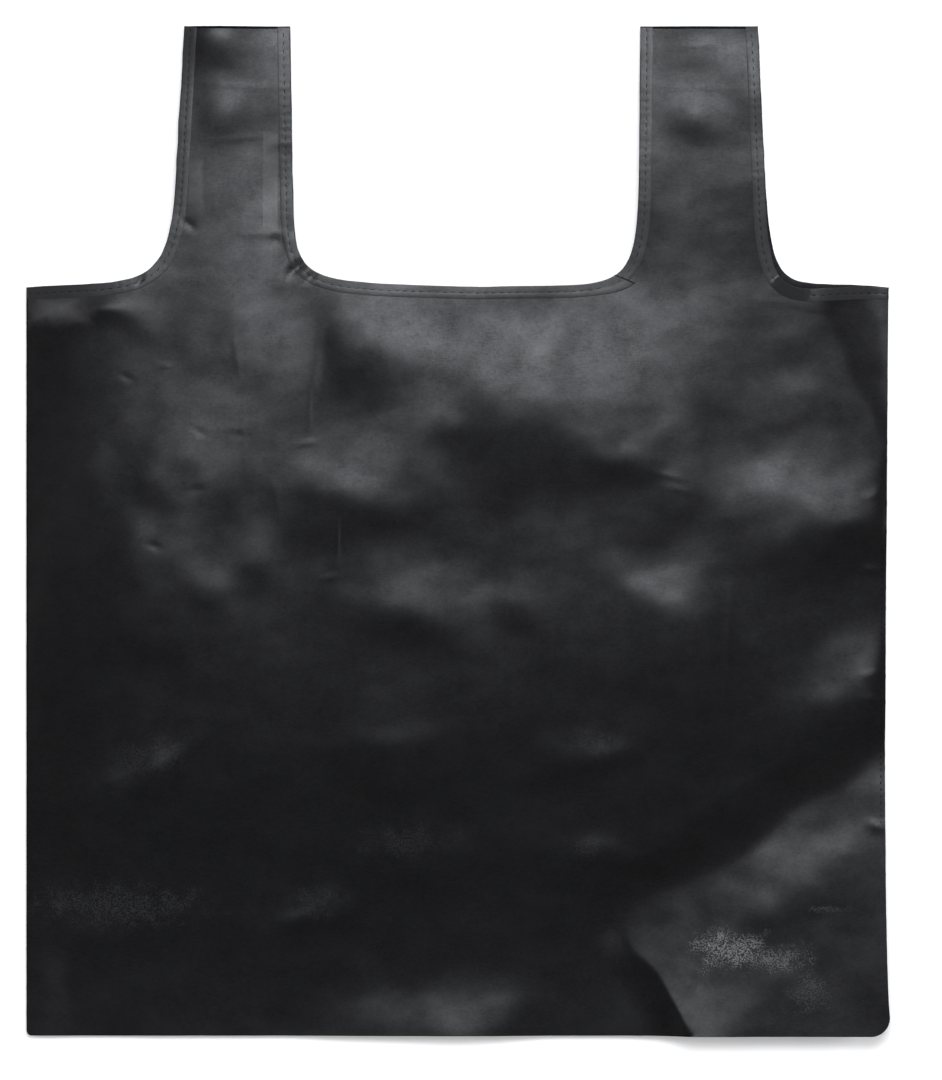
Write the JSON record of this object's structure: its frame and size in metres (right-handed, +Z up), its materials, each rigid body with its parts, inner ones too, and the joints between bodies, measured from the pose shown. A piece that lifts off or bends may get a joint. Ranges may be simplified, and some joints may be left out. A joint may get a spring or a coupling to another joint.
{
  "type": "foldable shopping bag",
  "caption": "Vest-style shopping bag of thin black coated cloth, lying flat, open at the top between carrying straps that are cut in one with its panels.",
  "frame": {"origin": "on the floor under the middle of the bag's box, with the bag lying on its back panel", "axes": "+Y from the bottom seam towards the strap tops, +X to the right as seen on the front panel, +Z up out of the front panel"},
  "size_m": [0.4, 0.468, 0.0195],
  "materials": {
    "cloth": "satin black coated taffeta with a fine plain weave"
  },
  "bodies": {
    "root": {"front_panel": "cloth", "back_panel": "cloth"}
  },
  "joints": []
}
